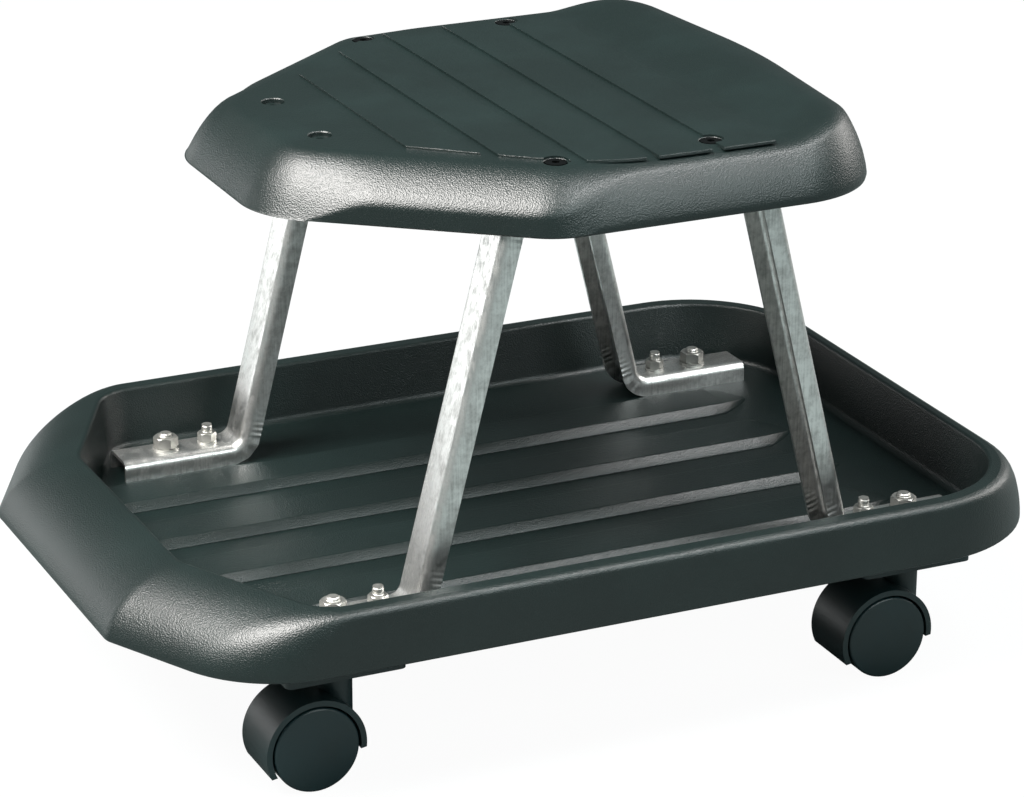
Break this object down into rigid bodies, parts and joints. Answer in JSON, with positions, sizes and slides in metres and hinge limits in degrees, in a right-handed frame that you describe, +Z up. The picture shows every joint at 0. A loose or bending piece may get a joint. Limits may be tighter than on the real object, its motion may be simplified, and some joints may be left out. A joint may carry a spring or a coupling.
{
  "type": "creeper seat",
  "caption": "Low workshop seat of moulded black plastic on bent zinc-plated channel legs, bolted to a black tool tray that rolls on twin-wheel swivel casters",
  "frame": {"origin": "On the ground under the middle of the tray.", "axes": "X runs along the tray, the sloping shoulder and the seat's nose towards minus X; Y runs across it; Z is up from the ground."},
  "size_m": [0.55, 0.38, 0.344],
  "materials": {
    "moulded_black": "leather grain",
    "zinc_sheet": "mottled zinc plate",
    "bright_zinc": "bright zinc plate",
    "black_oxide": "black oxide",
    "spring_steel": "plain",
    "caster_nylon": "fine grain",
    "wheel_nylon": "smooth"
  },
  "bodies": {
    "chassis": {"tray": "moulded_black", "seat_shell": "moulded_black", "stem_rings": "spring_steel", "stem_washers": "bright_zinc", "stem_nuts": "bright_zinc", "foot_bolts": "bright_zinc", "foot_washers": "bright_zinc", "foot_nuts": "bright_zinc", "seat_bolts": "black_oxide", "seat_washers": "bright_zinc", "seat_nuts": "bright_zinc", "leg_front_left": "zinc_sheet", "caster_block_front_left": "moulded_black", "caster_stem_front_left": "bright_zinc", "leg_front_right": "zinc_sheet", "caster_block_front_right": "moulded_black", "caster_stem_front_right": "bright_zinc", "leg_rear_left": "zinc_sheet", "caster_block_rear_left": "moulded_black", "caster_stem_rear_left": "bright_zinc", "leg_rear_right": "zinc_sheet", "caster_block_rear_right": "moulded_black", "caster_stem_rear_right": "bright_zinc"},
    "caster_front_left": {"caster_housing_front_left": "caster_nylon", "axle_front_left": "bright_zinc"},
    "wheel_front_left_front": {"wheel_front_left_front": "wheel_nylon"},
    "wheel_front_left_rear": {"wheel_front_left_rear": "wheel_nylon"},
    "caster_front_right": {"caster_housing_front_right": "caster_nylon", "axle_front_right": "bright_zinc"},
    "wheel_front_right_front": {"wheel_front_right_front": "wheel_nylon"},
    "wheel_front_right_rear": {"wheel_front_right_rear": "wheel_nylon"},
    "caster_rear_left": {"caster_housing_rear_left": "caster_nylon", "axle_rear_left": "bright_zinc"},
    "wheel_rear_left_front": {"wheel_rear_left_front": "wheel_nylon"},
    "wheel_rear_left_rear": {"wheel_rear_left_rear": "wheel_nylon"},
    "caster_rear_right": {"caster_housing_rear_right": "caster_nylon", "axle_rear_right": "bright_zinc"},
    "wheel_rear_right_front": {"wheel_rear_right_front": "wheel_nylon"},
    "wheel_rear_right_rear": {"wheel_rear_right_rear": "wheel_nylon"}
  },
  "joints": [
    {"name": "swivel_front_left", "type": "hinge", "parent": "chassis", "child": "caster_front_left", "pos_m": [-0.1568, -0.1325, 0.055], "axis": [0, 0, 1], "continuous": true},
    {"name": "roll_front_left_front", "type": "hinge", "parent": "caster_front_left", "child": "wheel_front_left_front", "pos_m": [-0.1748, -0.14375, 0.025], "axis": [0, 1, 0], "continuous": true},
    {"name": "roll_front_left_rear", "type": "hinge", "parent": "caster_front_left", "child": "wheel_front_left_rear", "pos_m": [-0.1748, -0.12125, 0.025], "axis": [0, 1, 0], "continuous": true},
    {"name": "swivel_front_right", "type": "hinge", "parent": "chassis", "child": "caster_front_right", "pos_m": [0.2008, -0.1325, 0.055], "axis": [0, 0, 1], "continuous": true},
    {"name": "roll_front_right_front", "type": "hinge", "parent": "caster_front_right", "child": "wheel_front_right_front", "pos_m": [0.1828, -0.14375, 0.025], "axis": [0, 1, 0], "continuous": true},
    {"name": "roll_front_right_rear", "type": "hinge", "parent": "caster_front_right", "child": "wheel_front_right_rear", "pos_m": [0.1828, -0.12125, 0.025], "axis": [0, 1, 0], "continuous": true},
    {"name": "swivel_rear_left", "type": "hinge", "parent": "chassis", "child": "caster_rear_left", "pos_m": [-0.1568, 0.1325, 0.055], "axis": [0, 0, 1], "continuous": true},
    {"name": "roll_rear_left_front", "type": "hinge", "parent": "caster_rear_left", "child": "wheel_rear_left_front", "pos_m": [-0.1748, 0.12125, 0.025], "axis": [0, 1, 0], "continuous": true},
    {"name": "roll_rear_left_rear", "type": "hinge", "parent": "caster_rear_left", "child": "wheel_rear_left_rear", "pos_m": [-0.1748, 0.14375, 0.025], "axis": [0, 1, 0], "continuous": true},
    {"name": "swivel_rear_right", "type": "hinge", "parent": "chassis", "child": "caster_rear_right", "pos_m": [0.2008, 0.1325, 0.055], "axis": [0, 0, 1], "continuous": true},
    {"name": "roll_rear_right_front", "type": "hinge", "parent": "caster_rear_right", "child": "wheel_rear_right_front", "pos_m": [0.1828, 0.12125, 0.025], "axis": [0, 1, 0], "continuous": true},
    {"name": "roll_rear_right_rear", "type": "hinge", "parent": "caster_rear_right", "child": "wheel_rear_right_rear", "pos_m": [0.1828, 0.14375, 0.025], "axis": [0, 1, 0], "continuous": true}
  ]
}
